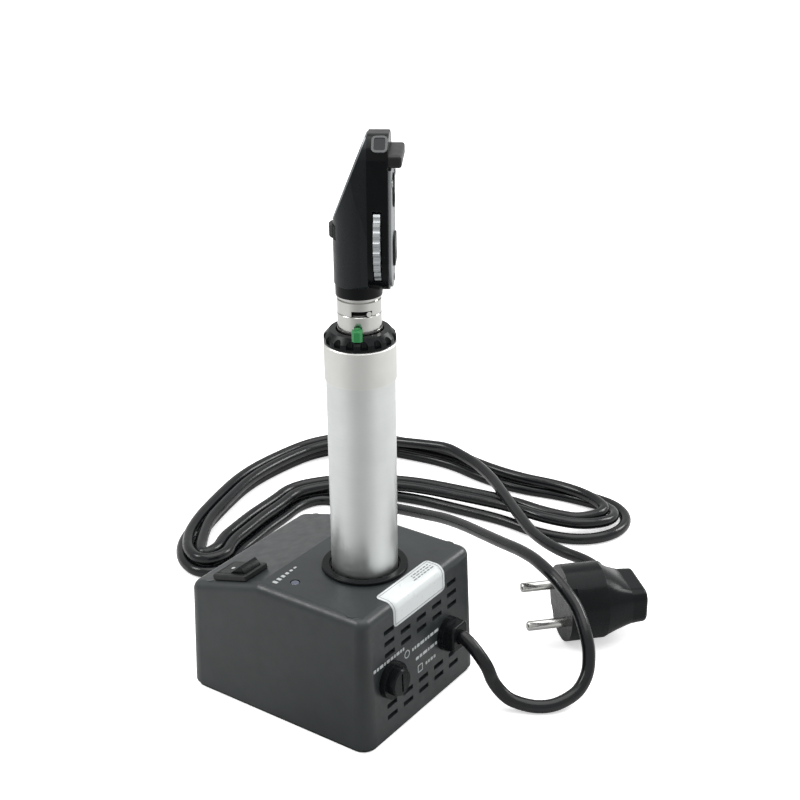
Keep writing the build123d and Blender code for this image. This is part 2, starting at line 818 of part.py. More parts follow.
with BuildPart() as lock_button:
    with BuildSketch(level.offset(button_floor + 0.4)):
        with BuildLine():
            Polyline(
                (button_inner, -button_half),
                (button_outer - 1, -button_half),
                (button_outer, 1 - button_half),
                (button_outer, button_half - 1),
                (button_outer - 1, button_half),
                (button_inner, button_half),
                close=True,
            )
        make_face()
    extrude(amount=4.2)
    with BuildSketch(level.offset(button_floor + 4.6)):
        with BuildLine():
            Polyline((button_inner, -1.5), (button_inner + 2, 0), (button_inner, 1.5), close=True)
        make_face()
    extrude(amount=0.8, taper=14)

with BuildPart() as button_spring:
    with BuildSketch(level.offset(button_floor + 0.02)):
        with Locations((12.2, 0)):
            Rectangle(3.0, 3.4)
    extrude(amount=0.22)

# ---------------------------------------------------------------------------------------------
# Head: socket, housing, front cover, face plate
# ---------------------------------------------------------------------------------------------
with BuildPart() as head_socket:
    with BuildSketch(well.offset(socket_bottom)):
        ring_sketch(neck_r, 7.45)
    extrude(amount=socket_top - 1.8 - socket_bottom)
    chamfer(head_socket.edges().group_by(Axis.Z)[0].sort_by(SortBy.RADIUS)[-1], 0.25)
    with BuildSketch(well.offset(socket_top - 1.8)):
        ring_sketch(neck_r - 0.9, 5.6)
    extrude(amount=1.0)
    with BuildSketch(well.offset(socket_top - 0.8)):
        ring_sketch(neck_r + 0.15, 5.6)
    extrude(amount=0.8)
    with BuildSketch(well.offset(socket_top)):
        ring_sketch(spigot_r, 5.6)
    extrude(amount=6.5)
    # bayonet slot for the lug of the neck
    with BuildSketch(level.offset(socket_bottom)):
        with Locations((neck_r - 1, 1.65)):
            Rectangle(8, 8.5)
    extrude(amount=2.5, mode=Mode.SUBTRACT)


def housing_outline(inset):
    """Rear view of the head: round bottom, sides drawing in to rounded shoulders."""
    low_z = housing_bottom + housing_half
    half = housing_half - inset
    top_half = housing_top_half - inset
    top = head_top - inset
    arc_r = shoulder_r - inset
    with BuildLine(Plane.XY) as outline:
        belly = CenterArc((0, low_z), half, 180, 180)
        right = Line(belly @ 1, (top_half, top - arc_r))
        corner = RadiusArc(right @ 1, (top_half - arc_r, top), -arc_r)
        roof = Line(corner @ 1, (-(top_half - arc_r), top))
        left = RadiusArc(roof @ 1, (-top_half, top - arc_r), -arc_r)
        Line(left @ 1, belly @ 0)
    make_face(outline.edges())


with BuildPart() as head_housing:
    with BuildSketch(face.offset(seam_u)):
        housing_outline(0)
    extrude(amount=housing_rear_u - seam_u)
    with BuildSketch(face.offset(seam_u)):
        housing_outline(cover_wall)
    extrude(amount=housing_rear_u - seam_u - cover_wall, mode=Mode.SUBTRACT)
    fillet(head_housing.faces().sort_by(Axis((0, 0, 0), forward))[-1].outer_wire().edges(), 0.6)
    # slots for the rim of the lens dial
    with BuildSketch(face.offset(dial_front_u - 0.5)):
        with Locations((0, dial_z)):
            Circle(dial_r + 0.9)
    extrude(amount=dial_thick + 1.0, mode=Mode.SUBTRACT)
    # sight hole and dial readout window through the rear wall
    with BuildSketch(face.offset(housing_rear_u - 2 * cover_wall)):
        with Locations((0, dial_z + lens_circle)):
            Circle(2.6)
        with Locations((0, dial_z - 8)):
            Rectangle(6, 4)
    extrude(amount=3 * cover_wall, mode=Mode.SUBTRACT)
    # way through the bottom for the collar
    with BuildSketch(well.offset(housing_bottom - 1)):
        Circle(head_collar_r + gap)
    extrude(amount=head_bottom + gap - housing_bottom + 1, mode=Mode.SUBTRACT)
    with BuildSketch(well.offset(housing_bottom - 1)):
        Circle(spigot_r + gap)
    extrude(amount=head_bottom - housing_bottom + 3, mode=Mode.SUBTRACT)
    # boss that carries the dial axle
    with BuildSketch(face.offset(housing_rear_u - cover_wall)):
        with Locations((0, dial_z)):
            Circle(3.4)
    extrude(amount=-1.4)
    with BuildSketch(face.offset(housing_rear_u - cover_wall - 2)):
        with Locations((0, dial_z)):
            Circle(2.0)
    extrude(amount=2.6, mode=Mode.SUBTRACT)


def cover_section(inset):
    """Plan section of the front cover: a half round nose that widens to the seam."""
    half = housing_half - 1.2 - inset
    nose = cover_front_u + inset
    with BuildLine(Plane.XY) as outline:
        back = Line((-half, seam_u), (half, seam_u))
        flank = Line(back @ 1, (half - 0.6, seam_u - 3))
        bow = ThreePointArc(flank @ 1, (0, nose), (-(half - 0.6), seam_u - 3))
        Line(bow @ 1, back @ 0)
    make_face(outline.edges())


def cover_outline(inset):
    """Front view of the cover: the housing's sides and shoulders on a square-cornered foot."""
    low_z = head_bottom + inset
    half = housing_half - 1.1 - inset
    height = housing_bottom + housing_half + 8 - low_z
    housing_outline(0.7 + inset)
    with Locations((0, low_z + height / 2)):
        RectangleRounded(2 * half, height, cover_corner_r - inset)


def slope_cut(inset):
    """Side-view outline of everything in front of and above the slanting front."""
    run = (slope_top_u - slope_foot_u) / (head_top - slope_foot_z)
    u0 = slope_foot_u + inset
    reach = 40
    with BuildLine(Plane.XY) as outline:
        Polyline(
            (u0 - reach * run, slope_foot_z - reach),
            (u0 + 2 * reach * run, slope_foot_z + 2 * reach),
            (u0 - 2 * reach, slope_foot_z + 2 * reach),
            (u0 - 2 * reach, slope_foot_z - reach),
            close=True,
        )
    make_face(outline.edges())


slant = Plane(
    origin=side.from_local_coords(Vector(slope_foot_u, slope_foot_z, 0)),
    x_dir=lateral,
    z_dir=(side.from_local_coords(
        Vector(-(head_top - slope_foot_z), slope_top_u - slope_foot_u, 0)
    ) - side.origin).normalized(),
)
slant_length = sqrt((slope_top_u - slope_foot_u) ** 2 + (head_top - slope_foot_z) ** 2)
with BuildPart() as cover_void:
    with BuildSketch(level.offset(head_bottom + cover_wall)):
        cover_section(cover_wall)
    extrude(amount=head_top - head_bottom - 2 * cover_wall)
    with BuildSketch(face.offset(cover_front_u - 1)):
        cover_outline(cover_wall)
    extrude(amount=seam_u - cover_front_u + 1, mode=Mode.INTERSECT)
    with BuildSketch(side):
        slope_cut(cover_wall * 1.1)
    extrude(amount=30, both=True, mode=Mode.SUBTRACT)

with BuildPart() as front_cover:
    with BuildSketch(level.offset(head_bottom)):
        cover_section(0)
    extrude(amount=head_top - head_bottom)
    with BuildSketch(face.offset(cover_front_u - 1)):
        cover_outline(0)
    extrude(amount=seam_u - cover_front_u + 1 - gap, mode=Mode.INTERSECT)
    with BuildSketch(side):
        slope_cut(0)
    extrude(amount=30, both=True, mode=Mode.SUBTRACT)
    add(cover_void.part, mode=Mode.SUBTRACT)
    # sight and light window in the slanting front
    with BuildSketch(slant.offset(2)):
        with Locations((0, 14)):
            RectangleRounded(12, 16, 4)
    extrude(amount=-8, mode=Mode.SUBTRACT)
    # opening for the aperture wheel's rim
    with BuildSketch(level.offset(wheel_z - 0.5)):
        with Locations((0, wheel_u)):
            Circle(wheel_r + 0.6)
    extrude(amount=wheel_height + 1.0, mode=Mode.SUBTRACT)
    # black collar that stands on the socket
    with BuildSketch(well.offset(socket_top + gap)):
        Circle(head_collar_r)
    extrude(amount=head_bottom - socket_top - gap)
    with BuildSketch(well.offset(socket_top)):
        Circle(spigot_r + gap)
    extrude(amount=head_bottom - socket_top + 2 * cover_wall, mode=Mode.SUBTRACT)

with BuildPart() as front_window:
    with BuildSketch(slant.offset(-1.2)):
        with Locations((0, 14)):
            RectangleRounded(11.8, 15.8, 3.9)
    extrude(amount=0.8)

with BuildPart() as face_plate:
    with BuildSketch(face.offset(housing_rear_u + gap)):
        housing_outline(1.2)
        with Locations((0, head_top)):
            Rectangle(60, 26.4, mode=Mode.SUBTRACT)
        with Locations((0, dial_z + lens_circle)):
            Circle(3.0, mode=Mode.SUBTRACT)
        with Locations((0, dial_z - 8)):
            Rectangle(8, 5, mode=Mode.SUBTRACT)
    extrude(amount=plate_skin)
    fillet(face_plate.faces().sort_by(Axis((0, 0, 0), forward))[-1].outer_wire().edges(), 0.4)

with BuildPart() as sight_bezel:
    with BuildSketch(face.offset(housing_rear_u + plate_skin + 2 * gap)):
        with Locations((0, 240)):
            RectangleRounded(8, 14, 3.9)
        with Locations((0, dial_z + lens_circle)):
            Circle(2.4, mode=Mode.SUBTRACT)
    extrude(amount=0.6)

with BuildPart() as readout_bezel:
    with BuildSketch(face.offset(housing_rear_u + plate_skin + 2 * gap)):
        with Locations((0, dial_z - 5)):
            RectangleRounded(12, 13, 3)
        with Locations((0, dial_z - 8)):
            Rectangle(7, 4.2, mode=Mode.SUBTRACT)
    extrude(amount=0.9)

with BuildPart() as brow_rest:
    with BuildSketch(face.offset(housing_rear_u + gap)):
        with Locations((0, brow_z)):
            RectangleRounded(24.6, 5.3, 1.6)
    extrude(amount=5.4)
    fillet(brow_rest.faces().sort_by(Axis((0, 0, 0), forward))[-1].edges(), 1.2)

# ---------------------------------------------------------------------------------------------
# Head: lens dial, aperture wheel and optics
# ---------------------------------------------------------------------------------------------
with BuildPart() as lens_dial:
    with BuildSketch(face.offset(dial_front_u)):
        with Locations((0, dial_z)):
            Circle(dial_r)
            with PolarLocations(dial_r + 1.2, scallop_count):
                Circle(1.9, mode=Mode.SUBTRACT)
            with PolarLocations(lens_circle, lens_count, 90):
                Circle(lens_r, mode=Mode.SUBTRACT)
            Circle(2.05, mode=Mode.SUBTRACT)
    extrude(amount=dial_thick)

with BuildPart() as corrective_lenses:
    with BuildSketch(face.offset(dial_front_u + 0.8)):
        with Locations((0, dial_z)):
            with PolarLocations(lens_circle, lens_count - 1, 90 + 360 / lens_count, 342):
                Circle(lens_r - 0.02)
    extrude(amount=1.5)

dial_axle = disc_stack(
    Plane(origin=face.from_local_coords(Vector(0, dial_z, 0)), z_dir=forward),
    (dial_front_u - 0.4, housing_rear_u - cover_wall - 1.5, 2.0 - 0.01, 0),
    (housing_rear_u - cover_wall - 1.5, housing_rear_u - cover_wall + 0.4, 1.95, 0),
)

with BuildPart() as aperture_wheel:
    with BuildSketch(level.offset(wheel_z)):
        with Locations((0, wheel_u)):
            Circle(wheel_r)
            with PolarLocations(wheel_r + 0.7, 24):
                Circle(0.9, mode=Mode.SUBTRACT)
            with PolarLocations(-wheel_u, 5, 90):
                Circle(1.6, mode=Mode.SUBTRACT)
    extrude(amount=wheel_height)
    with BuildSketch(level.offset(wheel_z - 1.8)):
        with Locations((0, wheel_u)):
            Circle(1.0)
    extrude(amount=wheel_height + 3.6)

with BuildPart() as optics_barrel:
    with BuildSketch(well.offset(203)):
        ring_sketch(barrel_r, barrel_bore)
    extrude(amount=27)
    for low in (wheel_z - 2.0, wheel_z + wheel_height + 0.4):
        with BuildSketch(level.offset(low)):
            Circle(barrel_r)
            Circle(2.4, mode=Mode.SUBTRACT)
        extrude(amount=1.6)
    with BuildSketch(level.offset(wheel_z - 0.4)):
        with Locations((0, wheel_u)):
            Circle(wheel_r + 0.5)
    extrude(amount=wheel_height + 0.8, mode=Mode.SUBTRACT)
    with BuildSketch(level.offset(wheel_z - 2.5)):
        with Locations((0, wheel_u)):
            Circle(1.0 + gap)
    extrude(amount=wheel_height + 5, mode=Mode.SUBTRACT)

condenser_lens = disc_stack(well, (209, 211.4, barrel_bore - gap, 0))
objective_lens = disc_stack(well, (230.1, 231.6, barrel_bore - 0.5, 0))

with BuildPart() as mirror_block:
    with BuildSketch(side):
        with BuildLine():
            Polyline((-3.4, 232.4), (3.4, 232.4), (3.4, 236.2), (0.4, 236.2), close=True)
        make_face()
    extrude(amount=3.5, both=True)

lamp_base = disc_stack(well, (neck_top + 4.9, 200, 4.6, 0), (196, 197, 5.5, 0))
with BuildPart() as lamp_bulb:
    with BuildSketch(well.offset(200)):
        Circle(3.2)
    extrude(amount=7.6)
    fillet(lamp_bulb.edges().group_by(Axis.Z)[-1], 3.0)

with BuildPart() as head_screws:
    for v, z in ((-9.5, 245), (9.5, 245), (0, 203)):
        with BuildSketch(face.offset(housing_rear_u + plate_skin + gap)):
            with Locations((v, z)):
                Circle(1.5)
                Rectangle(2.2, 0.5, mode=Mode.SUBTRACT)
        extrude(amount=0.5)

pieces = {
    "base_housing": base_housing,
    "bottom_plate": bottom_plate,
    "rubber_feet": rubber_feet,
    "base_screws": base_screws,
    "charging_well": charging_well,
    "well_ring": well_ring,
    "well_contact": well_contact,
    "contact_spring": contact_spring,
    "switch_frame": switch_frame,
    "rocker_pivot": rocker_pivot,
    "switch_rocker": switch_rocker,
    "switch_terminals": switch_terminals,
    "charge_lamp": charge_lamp,
    "fuse_holder": fuse_holder,
    "fuse_cap": fuse_cap,
    "cable_gland": cable_gland,
    "power_cord": power_cord,
    "plug_body": plug_body,
    "plug_pins": plug_pins,
    "earth_clips": earth_clips,
    "transformer_core": transformer_core,
    "transformer_coil": transformer_coil,
    "circuit_board": circuit_board,
    "board_screws": board_screws,
    "filter_capacitor": filter_capacitor,
    "charge_regulator": charge_regulator,
    "rating_label": rating_label,
    "battery_tube": battery_tube,
    "end_cap": end_cap,
    "end_contact": end_contact,
    "battery_spring": battery_spring,
    "battery_cell": battery_cell,
    "charge_board": charge_board,
    "handle_collar": handle_collar,
    "neck": neck,
    "neck_insulator": neck_insulator,
    "head_contact": head_contact,
    "rheostat_ring": rheostat_ring,
    "lock_button": lock_button,
    "button_spring": button_spring,
    "head_socket": head_socket,
    "head_housing": head_housing,
    "front_cover": front_cover,
    "front_window": front_window,
    "face_plate": face_plate,
    "sight_bezel": sight_bezel,
    "readout_bezel": readout_bezel,
    "brow_rest": brow_rest,
    "lens_dial": lens_dial,
    "corrective_lenses": corrective_lenses,
    "dial_axle": dial_axle,
    "aperture_wheel": aperture_wheel,
    "optics_barrel": optics_barrel,
    "condenser_lens": condenser_lens,
    "objective_lens": objective_lens,
    "mirror_block": mirror_block,
    "lamp_base": lamp_base,
    "lamp_bulb": lamp_bulb,
    "head_screws": head_screws,
    "glass_fuse": glass_fuse,
}
for name, piece in pieces.items():
    write(piece, name)
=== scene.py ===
import json
import math
import random

import bmesh
import bpy
from mathutils import Matrix, Vector


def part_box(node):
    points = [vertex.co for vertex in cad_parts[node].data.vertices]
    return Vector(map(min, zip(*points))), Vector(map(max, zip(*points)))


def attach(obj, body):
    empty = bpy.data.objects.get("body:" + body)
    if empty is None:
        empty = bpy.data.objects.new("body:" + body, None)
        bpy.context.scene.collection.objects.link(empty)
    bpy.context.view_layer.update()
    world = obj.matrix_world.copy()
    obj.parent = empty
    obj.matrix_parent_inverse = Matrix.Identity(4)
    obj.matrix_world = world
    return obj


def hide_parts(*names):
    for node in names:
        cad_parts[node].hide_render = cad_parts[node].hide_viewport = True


# Direct ophthalmoscope on its battery handle, standing in a corded charging base.
# Metres, in the row frame: +Z up, +Y the rear panel of the base. MM turns millimetres into metres.
MM = 0.001

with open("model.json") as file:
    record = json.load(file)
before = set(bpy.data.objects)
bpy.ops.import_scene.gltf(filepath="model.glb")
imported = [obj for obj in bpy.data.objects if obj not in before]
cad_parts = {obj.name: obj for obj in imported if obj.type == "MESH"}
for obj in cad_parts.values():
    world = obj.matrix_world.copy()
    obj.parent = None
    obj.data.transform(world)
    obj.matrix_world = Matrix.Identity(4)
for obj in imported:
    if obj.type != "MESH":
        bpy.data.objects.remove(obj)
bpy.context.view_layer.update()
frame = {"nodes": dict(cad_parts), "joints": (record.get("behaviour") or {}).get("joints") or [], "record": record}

# Printed marks, mm: how far they reach into a surface and how far they stand proud of it
PRINT_SINK = -0.02
PRINT_LIFT = 0.05
# Noise stays mostly between these two values, so this span is what gets spread over a range
NOISE_LOW = 0.3
NOISE_HIGH = 0.7

# ---------------------------------------------------------------------------------------------
# Places taken from the frame
# ---------------------------------------------------------------------------------------------
joints = {joint["name"]: joint for joint in frame["joints"]}
up = Vector((0, 0, 1))
rear_normal = -Vector(joints["fuse_turn"]["axis"])
fuse_spot = Vector(joints["fuse_turn"]["pos_m"])
rocker_spot = Vector(joints["switch_rock"]["pos_m"])
handle_spot = Vector(joints["head_twist"]["pos_m"])
forward = Vector(joints["lens_dial_turn"]["axis"])
lateral = forward.cross(up)
base_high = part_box("base_housing")[1]
label_low, label_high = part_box("rating_label")


def plane(origin, x_dir, normal):
    """Matrix whose x and y lie in a surface and whose z is its outward normal."""
    z = Vector(normal).normalized()
    x = Vector(x_dir)
    x = (x - z * x.dot(z)).normalized()
    turn = Matrix((x, z.cross(x), z)).transposed().to_4x4()
    return Matrix.Translation(origin) @ turn


def head_point(side, u, z):
    """Point of the head: `side` along the lateral direction, `u` towards the examiner, height z, in mm."""
    axis_foot = Vector((handle_spot.x, handle_spot.y, 0))
    return axis_foot + (lateral * side + forward * u + up * z) * MM


# ---------------------------------------------------------------------------------------------
# Material helpers
# ---------------------------------------------------------------------------------------------
class Shader:
    """A material under construction: adds nodes and links them to the principled shader."""

    def __init__(self, name, colour, rough, metal=0.0):
        self.material = bpy.data.materials.new(name)
        self.material.use_nodes = True
        self.tree = self.material.node_tree
        self.surface = self.tree.nodes["Principled BSDF"]
        self.surface.inputs["Base Color"].default_value = (*colour, 1)
        self.surface.inputs["Roughness"].default_value = rough
        self.surface.inputs["Metallic"].default_value = metal
        self.coordinates = self.node("ShaderNodeTexCoord").outputs["Object"]

    def node(self, kind, **inputs):
        """Adds a node; an input named Some_Input sets or links the socket "Some Input"."""
        made = self.tree.nodes.new(kind)
        for key, value in inputs.items():
            self.feed(made.inputs[key.replace("_", " ")], value)
        return made

    def feed(self, socket, value):
        """Links a socket to another one, or sets its plain value."""
        if isinstance(value, bpy.types.NodeSocket):
            self.tree.links.new(value, socket)
        else:
            socket.default_value = value

    def set(self, name, value):
        """Sets or links an input of the principled shader."""
        self.feed(self.surface.inputs[name], value)

    def noise(self, size_mm, stretch=(1, 1, 1), detail=3.0):
        """Noise from 0 to 1 with features of about size_mm; stretch multiplies the frequency by axis."""
        placed = self.node("ShaderNodeMapping", Vector=self.coordinates)
        placed.inputs["Scale"].default_value = stretch
        scale = 1 / (size_mm * MM)
        made = self.node(
            "ShaderNodeTexNoise", Vector=placed.outputs[0], Scale=scale, Detail=detail
        )
        return made.outputs["Fac"]

    def remap(self, value, low, high, to_low=0.0, to_high=1.0):
        """Spreads the span from low to high over the span from to_low to to_high."""
        made = self.node("ShaderNodeMapRange", Value=value)
        for key, number in zip(
            ("From Min", "From Max", "To Min", "To Max"), (low, high, to_low, to_high)
        ):
            made.inputs[key].default_value = number
        return made.outputs[0]

    def uneven(self, size_mm, to_low=0.0, to_high=1.0):
        """Noise with features of about size_mm, spread over the span from to_low to to_high."""
        return self.remap(self.noise(size_mm), NOISE_LOW, NOISE_HIGH, to_low, to_high)

    def blend(self, share, first, second):
        """Mixes two colours: the first at share 0, the second at share 1."""
        made = self.tree.nodes.new("ShaderNodeMix")
        made.data_type = "RGBA"
        colours = [socket for socket in made.inputs if socket.type == "RGBA"]
        self.feed(made.inputs[0], share)
        self.feed(colours[0], first if isinstance(first, bpy.types.NodeSocket) else (*first, 1))
        self.feed(colours[1], second if isinstance(second, bpy.types.NodeSocket) else (*second, 1))
        return [socket for socket in made.outputs if socket.type == "RGBA"][0]

    def edges(self, radius_mm, start=0.02, end=0.25):
        """1 on sharp edges, 0 on flats, from the gap between the rounded and the true normal."""
        soft = self.node("ShaderNodeBevel", Radius=radius_mm * MM)
        true = self.node("ShaderNodeNewGeometry")
        gap = self.tree.nodes.new("ShaderNodeVectorMath")
        gap.operation = "DOT_PRODUCT"
        self.tree.links.new(soft.outputs[0], gap.inputs[0])
        self.tree.links.new(true.outputs["Normal"], gap.inputs[1])
        return self.remap(gap.outputs["Value"], 1 - start, 1 - end)

    def bump(self, *layers):
        """Stacks bump layers; each is (height socket, depth in mm)."""
        normal = None
        for height, depth_mm in layers:
            made = self.node("ShaderNodeBump", Height=height, Distance=depth_mm * MM)
            if normal is not None:
                self.tree.links.new(normal, made.inputs["Normal"])
            normal = made.outputs[0]
        self.set("Normal", normal)


def tinted(colour, factor):
    """The same colour, darker for a factor below 1 and lighter for one above it."""
    return tuple(min(1.0, channel * factor) for channel in colour)


def moulded(name, colour, rough, grain_mm=0.5, grain_depth=0.03, wear_and_highlight=1.6, coat=0.0, shine=0.3):
    """Injection-moulded plastic: spark-eroded grain, cloudy gloss, and edges made lighter, partly as rubbed wear
    and partly as a painted edge highlight.
    """
    cloud_mm, gloss_mm, edge_mm = 14, 5, 0.5
    sink_mm, sink_depth = 40, 0.06
    coat_rough = 0.12
    made = Shader(name, colour, rough)
    shade = made.blend(made.uneven(cloud_mm), tinted(colour, 0.9), tinted(colour, 1.12))
    # Lighter edges: partly rubbed wear, partly a painted highlight along the edges
    worn_and_highlit = made.blend(made.edges(edge_mm), shade, tinted(colour, wear_and_highlight))
    made.set("Base Color", worn_and_highlit)
    made.set("Roughness", made.uneven(gloss_mm, rough - 0.05, rough + 0.07))
    made.set("Specular IOR Level", shine)
    made.set("Coat Weight", coat)
    made.set("Coat Roughness", coat_rough)
    made.bump((made.noise(grain_mm), grain_depth), (made.noise(sink_mm), sink_depth))
    return made


def rubbery(name, colour, rough):
    """Soft PVC or rubber: waxy gloss with faint long waves and dust."""
    wave_mm, wave_depth = 9, 0.12
    grain_mm, grain_depth = 0.7, 0.012
    dust_mm, dust_from, dust_full = 2.2, 0.62, 0.8
    made = Shader(name, colour, rough)
    made.set("Specular IOR Level", 0.35)
    dust = made.remap(made.noise(dust_mm), dust_from, dust_full)
    made.set("Base Color", made.blend(dust, colour, tinted(colour, 1.7)))
    made.set("Roughness", made.uneven(wave_mm, rough - 0.06, rough + 0.08))
    made.bump((made.noise(grain_mm), grain_depth), (made.noise(wave_mm), wave_depth))
    return made


def turned_metal(name, colour, rough, line_mm, line_depth, stretch=(0.04, 0.04, 1)):
    """Metal with fine turning or brushing lines; stretch gives the direction of the lines."""
    smear_mm = 18
    wave_mm, wave_depth = 30, 0.02
    made = Shader(name, colour, rough, metal=1.0)
    lines = made.noise(line_mm, stretch)
    made.set("Base Color", made.blend(made.uneven(smear_mm), tinted(colour, 0.93), colour))
    made.set("Roughness", made.remap(lines, NOISE_LOW, NOISE_HIGH, rough - 0.06, rough + 0.08))
    made.bump((lines, line_depth), (made.noise(wave_mm), wave_depth))
    return made


def blasted_metal(name, colour, rough, grain_mm=0.25, grain_depth=0.02):
    """Bead-blasted or satin anodised metal: fine even grain and a soft sheen."""
    edge_mm, gloss_mm = 0.4, 6
    made = Shader(name, colour, rough, metal=1.0)
    made.set("Base Color", made.blend(made.edges(edge_mm), colour, tinted(colour, 1.25)))
    made.set("Roughness", made.uneven(gloss_mm, rough - 0.05, rough + 0.06))
    made.bump((made.noise(grain_mm), grain_depth))
    return made


def polished_metal(name, colour, rough):
    """Plated metal: mirror gloss with hairline scratches and faint haze."""
    scratch_mm, scratch_depth, haze_mm = 0.6, 0.004, 7
    made = Shader(name, colour, rough, metal=1.0)
    scratches = made.noise(scratch_mm, (0.3, 0.3, 3))
    made.set("Roughness", made.remap(scratches, 0.45, 0.75, rough, rough + 0.12))
    made.set("Base Color", made.blend(made.noise(haze_mm), tinted(colour, 0.92), colour))
    made.bump((scratches, scratch_depth))
    return made


def clear(name, colour, rough):
    """Glass or clear plastic with faint smears."""
    smear_mm, refraction = 3, 1.49
    made = Shader(name, colour, rough)
    made.set("Transmission Weight", 1.0)
    made.set("IOR", refraction)
    made.set("Roughness", made.remap(made.noise(smear_mm), 0.4, 0.8, rough, rough + 0.08))
    return made


def paper(name, colour, rough):
    """Glossy printed foil: slightly uneven gloss, fine fibre."""
    shade_mm, gloss_mm = 4, 2
    fibre_mm, fibre_depth = 0.5, 0.006
    wave_mm, wave_depth = 12, 0.05
    made = Shader(name, colour, rough)
    made.set("Base Color", made.blend(made.noise(shade_mm), tinted(colour, 0.96), colour))
    made.set("Roughness", made.uneven(gloss_mm, rough - 0.05, rough + 0.1))
    made.bump((made.noise(fibre_mm), fibre_depth), (made.noise(wave_mm), wave_depth))
    return made


charcoal = (0.0195, 0.0235, 0.0245)
black = (0.005, 0.006, 0.0065)
head_grey = (0.0075, 0.0095, 0.0115)

# Each finish: material name, colour, roughness, then the size and the depth of its grain or lines, mm
finishes = {
    "housing_plastic": moulded("Housing_Plastic", charcoal, 0.36, 0.55, 0.03, shine=0.42),
    "satin_plastic": moulded("Satin_Plastic", black, 0.24, 0.8, 0.012, wear_and_highlight=2.6, shine=0.12),
    "head_plastic": moulded("Head_Plastic", head_grey, 0.28, 0.7, 0.01, wear_and_highlight=2.2, shine=0.2),
    "black_plastic": moulded("Black_Plastic", (0.007, 0.008, 0.008), 0.46, 0.6, 0.02),
    "rubber": rubbery("Rubber", (0.006, 0.006, 0.007), 0.4),
    "cord_sheath": rubbery("Cord_Sheath", (0.0035, 0.0042, 0.005), 0.22),
    "label_paper": paper("Label_Paper", (0.60, 0.63, 0.63), 0.3),
    "lamp_lens": moulded("Lamp_Lens", (0.07, 0.08, 0.115), 0.25, 0.6, 0.004, wear_and_highlight=1.2, coat=0.6),
    "tube_aluminium": turned_metal("Tube_Aluminium", (0.62, 0.64, 0.63), 0.36, 0.35, 0.012),
    "satin_metal": blasted_metal("Satin_Metal", (0.635, 0.64, 0.615), 0.42),
    "bright_nickel": polished_metal("Bright_Nickel", (0.52, 0.52, 0.50), 0.16),
    "steel": turned_metal("Steel", (0.5, 0.5, 0.51), 0.3, 0.3, 0.01),
    "brass": turned_metal("Brass", (0.78, 0.57, 0.25), 0.25, 0.4, 0.01),
    "green_plastic": moulded("Green_Plastic", (0.006, 0.20, 0.045), 0.24, 0.7, 0.006, wear_and_highlight=1.3, coat=0.5),
    "plate_metal": blasted_metal("Plate_Metal", (0.28, 0.295, 0.30), 0.45),
    "dial_metal": blasted_metal("Dial_Metal", (0.44, 0.46, 0.47), 0.42, 0.3, 0.01),
    "clear_glass": clear("Clear_Glass", (0.93, 0.96, 0.97), 0.02),
    "mirror_glass": polished_metal("Mirror_Glass", (0.9, 0.9, 0.9), 0.02),
    "copper_winding": turned_metal("Copper_Winding", (0.6, 0.26, 0.1), 0.4, 0.5, 0.1, (0.1, 0.1, 1)),
    "core_steel": turned_metal("Core_Steel", (0.25, 0.25, 0.26), 0.5, 0.7, 0.06, (0.05, 1, 0.05)),
    "board_laminate": moulded("Board_Laminate", (0.02, 0.16, 0.05), 0.35, 0.9, 0.02),
    "cell_jacket": moulded("Cell_Jacket", (0.03, 0.08, 0.3), 0.3, 0.8, 0.008),
    "component_black": moulded("Component_Black", (0.02, 0.02, 0.022), 0.5, 0.5, 0.02),
}
print_white = moulded("Print_White", (0.40, 0.42, 0.42), 0.5, 0.4, 0.003, wear_and_highlight=1.0)
print_grey = moulded("Print_Grey", (0.20, 0.21, 0.22), 0.5, 0.4, 0.003, wear_and_highlight=1.0)
dark_glass = moulded("Dark_Glass", (0.006, 0.007, 0.01), 0.12, 0.6, 0.002, wear_and_highlight=1.5, coat=0.15, shine=0.2)
head_black = moulded("Head_Black", (0.0025, 0.003, 0.0035), 0.2, 0.9, 0.006, wear_and_highlight=3.0, shine=0.14)
socket_shade = moulded("Socket_Shade", (0.003, 0.003, 0.003), 0.6, 0.5, 0.01, wear_and_highlight=1.0, shine=0.1)
frame_gloss = moulded("Frame_Gloss", (0.02, 0.023, 0.024), 0.16, 0.8, 0.004, wear_and_highlight=3.0, coat=0.4, shine=0.5)
rim_plate = blasted_metal("Rim_Plate", (0.30, 0.32, 0.33), 0.4)

slot_of = {part["node"]: part["material_slot"] for part in frame["record"]["subparts"]}
# The head's housing is glossier than the other pieces that share its material slot
finish_of = {"head_housing": head_black}
for node_name, cad_object in frame["nodes"].items():
    finish = finish_of.get(node_name, finishes[slot_of[node_name]])
    cad_object.data.materials.clear()
    cad_object.data.materials.append(finish.material)


# ---------------------------------------------------------------------------------------------
# Geometry helpers
# ---------------------------------------------------------------------------------------------
def add_piece(name, mesh_data, body, finish, smooth=False):
    """Makes an object from a bmesh, gives it a finish and lets it ride on a CAD body."""
    data = bpy.data.meshes.new(name)
    mesh_data.to_mesh(data)
    mesh_data.free()
    for polygon in data.polygons:
        polygon.use_smooth = smooth
    made = bpy.data.objects.new(name, data)
    bpy.context.scene.collection.objects.link(made)
    data.materials.append(finish.material)
    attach(made, body)
    return made


def rounded_box(width, depth, radius, steps=5):
    """Outline of a rounded rectangle about the origin, counter-clockwise."""
    points = []
    for corner in range(4):
        centre_x = (width / 2 - radius) * (1 if corner in (0, 3) else -1)
        centre_y = (depth / 2 - radius) * (1 if corner in (0, 1) else -1)
        for step in range(steps + 1):
            angle = math.radians(90 * (corner + step / steps))
            points.append((centre_x + radius * math.cos(angle), centre_y + radius * math.sin(angle)))
    return points


def shifted(outline, x, y):
    """The same outline, moved by x and y."""
    return [(px + x, py + y) for px, py in outline]


